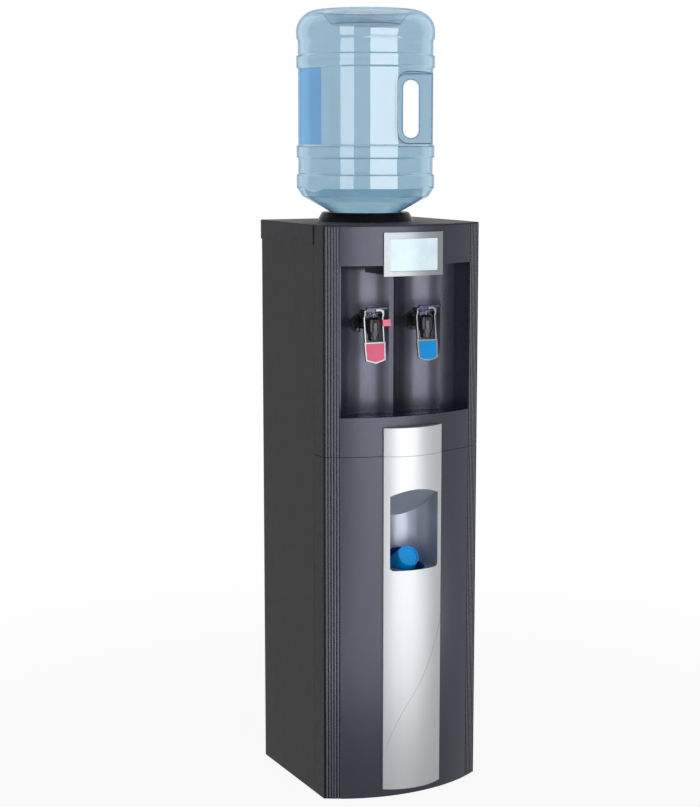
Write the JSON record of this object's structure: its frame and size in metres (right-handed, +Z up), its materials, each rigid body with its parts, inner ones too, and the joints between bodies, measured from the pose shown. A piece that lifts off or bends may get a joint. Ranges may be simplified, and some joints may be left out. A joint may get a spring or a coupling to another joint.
{
  "type": "bottle water cooler",
  "caption": "Free-standing water cooler with an upturned bottle on top, hot and cold push-back taps over a drip tray, and a cup recess in a silver front.",
  "frame": {"origin": "on the floor under the middle of the object", "axes": "+Z up, front with the taps towards -Y, +X to the right seen from the front"},
  "size_m": [0.3396, 0.3638, 1.524],
  "materials": {
    "cabinet_steel": "dark charcoal powder coat on folded steel, low sheen",
    "front_moulding": "satin anthracite moulding with a slight blue cast",
    "niche_moulding": "smooth anthracite moulding, glossier than the front",
    "silver_fascia": "satin silver with a fine vertical grain",
    "badge_silver": "satin silver frame",
    "badge_inlay": "pale blue plain panel, bare",
    "collar_black": "glossy near-black plastic",
    "bottle_plastic": "clear pale blue polycarbonate",
    "cap_white": "white soft plastic",
    "water": "clear water",
    "cap_navy": "glossy dark navy plastic",
    "tap_black": "glossy black plastic",
    "lever_chrome": "bright plated plastic",
    "hot_red": "pink-red gloss plastic",
    "cold_blue": "bright blue gloss plastic",
    "catch_red": "red gloss plastic",
    "stem_grey": "blue-grey acetal",
    "spring_steel": "drawn spring steel",
    "tray_black": "black moulded plastic with a fine grain",
    "grille_dark": "dark blue-black satin plastic",
    "recess_silver": "silver-grey moulding",
    "tube_grey": "grey extruded plastic",
    "tube_blue": "deep blue extruded plastic",
    "cup_blue": "bright blue thin plastic",
    "stainless": "plain stainless steel",
    "foam": "white moulded foam",
    "copper": "copper tube",
    "silicone": "translucent silicone hose",
    "galvanised": "galvanised sheet",
    "compressor_black": "black enamelled steel",
    "condenser_black": "black lacquered wire and tube",
    "rubber_black": "black rubber",
    "switch_black": "black switch plastic",
    "rocker_red": "red rocker",
    "rocker_green": "green rocker",
    "screw_zinc": "zinc plated steel"
  },
  "bodies": {
    "cabinet": {"base_pan": "galvanised", "feet": "rubber_black", "side_panel_left": "cabinet_steel", "side_panel_right": "cabinet_steel", "back_panel": "galvanised", "back_screws": "screw_zinc", "top_cover": "front_moulding", "tank_shelf": "galvanised", "upper_front_panel": "front_moulding", "lower_front_panel": "front_moulding", "niche_liner": "niche_moulding", "badge_frame": "badge_silver", "badge_inlay": "badge_inlay", "fascia_upper": "silver_fascia", "fascia_lower": "silver_fascia", "recess_liner": "recess_silver", "cup_tube": "tube_blue", "pusher_spring": "spring_steel", "bottle_collar": "collar_black", "feed_probe": "cap_white", "hot_tap_body": "tap_black", "cold_tap_body": "tap_black", "hot_stem_spring": "spring_steel", "cold_stem_spring": "spring_steel", "lever_pins": "screw_zinc", "tap_nuts": "tap_black", "cold_tank": "stainless", "evaporator_coil": "copper", "tank_insulation": "foam", "hot_tank": "stainless", "hot_tank_jacket": "foam", "water_hoses": "silicone", "compressor": "compressor_black", "compressor_mounts": "rubber_black", "condenser": "condenser_black", "switch_housings": "switch_black", "refrigerant_pipes": "copper", "filter_drier": "copper", "thermostat": "switch_black", "mains_inlet": "switch_black"},
    "bottle": {"bottle": "bottle_plastic", "bottle_cap": "cap_white", "bottle_water": "water"},
    "hot_lever": {"hot_lever": "lever_chrome", "hot_lever_insert": "hot_red", "hot_lever_cap": "cap_navy"},
    "cold_lever": {"cold_lever": "lever_chrome", "cold_lever_insert": "cold_blue", "cold_lever_cap": "cap_navy"},
    "hot_stem": {"hot_stem": "stem_grey"},
    "cold_stem": {"cold_stem": "stem_grey"},
    "hot_catch": {"hot_catch": "catch_red"},
    "drip_tray": {"drip_tray": "tray_black"},
    "drip_grille": {"drip_grille": "grille_dark"},
    "hot_rocker": {"hot_switch_rocker": "rocker_red"},
    "cold_rocker": {"cold_switch_rocker": "rocker_green"},
    "drain_cap": {"drain_cap": "switch_black"},
    "front_cup": {"front_cup": "cup_blue"},
    "cup_feed": {"cup_stack": "cup_blue", "cup_pusher": "tube_grey"}
  },
  "joints": [
    {"name": "hot_lever", "type": "hinge", "parent": "cabinet", "child": "hot_lever", "pos_m": [-0.057, -0.095, 0.947], "axis": [1, 0, 0], "range_deg": [0, 12], "stiffness_Nm_per_rad": 0.3, "springref_deg": -11.46},
    {"name": "hot_stem", "type": "slide", "parent": "cabinet", "child": "hot_stem", "axis": [0, 0, -1], "range_m": [0, 0.003], "deforming": ["hot_stem_spring"]},
    {"name": "cold_lever", "type": "hinge", "parent": "cabinet", "child": "cold_lever", "pos_m": [0.057, -0.095, 0.947], "axis": [1, 0, 0], "range_deg": [0, 12], "stiffness_Nm_per_rad": 0.3, "springref_deg": -11.46},
    {"name": "cold_stem", "type": "slide", "parent": "cabinet", "child": "cold_stem", "axis": [0, 0, -1], "range_m": [0, 0.003], "deforming": ["cold_stem_spring"]},
    {"name": "hot_catch", "type": "slide", "parent": "hot_lever", "child": "hot_catch", "axis": [0, -0.1305, -0.9914], "range_m": [0, 0.004], "stiffness_N_per_m": 150, "springref_m": -0.002},
    {"name": "bottle_lift", "type": "slide", "parent": "cabinet", "child": "bottle", "axis": [0, 0, 1], "range_m": [0, 0.12]},
    {"name": "tray_lift", "type": "slide", "parent": "cabinet", "child": "drip_tray", "axis": [0, 0, 1], "range_m": [0, 0.05]},
    {"name": "grille_lift", "type": "slide", "parent": "drip_tray", "child": "drip_grille", "axis": [0, 0, 1], "range_m": [0, 0.03]},
    {"name": "cup_pull", "type": "slide", "parent": "cabinet", "child": "front_cup", "axis": [0, -0.766, 0.6428], "range_m": [0, 0.1]},
    {"name": "cup_feed", "type": "slide", "parent": "cabinet", "child": "cup_feed", "axis": [0, -0.766, 0.6428], "range_m": [0, 0.009], "deforming": ["pusher_spring"]},
    {"name": "hot_switch", "type": "hinge", "parent": "cabinet", "child": "hot_rocker", "pos_m": [-0.06, 0.162, 0.83], "axis": [1, 0, 0], "range_deg": [0, 18]},
    {"name": "cold_switch", "type": "hinge", "parent": "cabinet", "child": "cold_rocker", "pos_m": [0.06, 0.162, 0.83], "axis": [1, 0, 0], "range_deg": [0, 18]},
    {"name": "drain_cap", "type": "hinge", "parent": "cabinet", "child": "drain_cap", "pos_m": [0, 0.165, 0.642], "axis": [0, 1, 0], "continuous": true}
  ],
  "couplings": [
    {"joint": "hot_stem", "follows": "hot_lever", "m_per_rad": 0.014},
    {"joint": "cold_stem", "follows": "cold_lever", "m_per_rad": 0.014},
    {"joint": "cup_feed", "follows": "cup_pull", "ratio": 0.09}
  ]
}
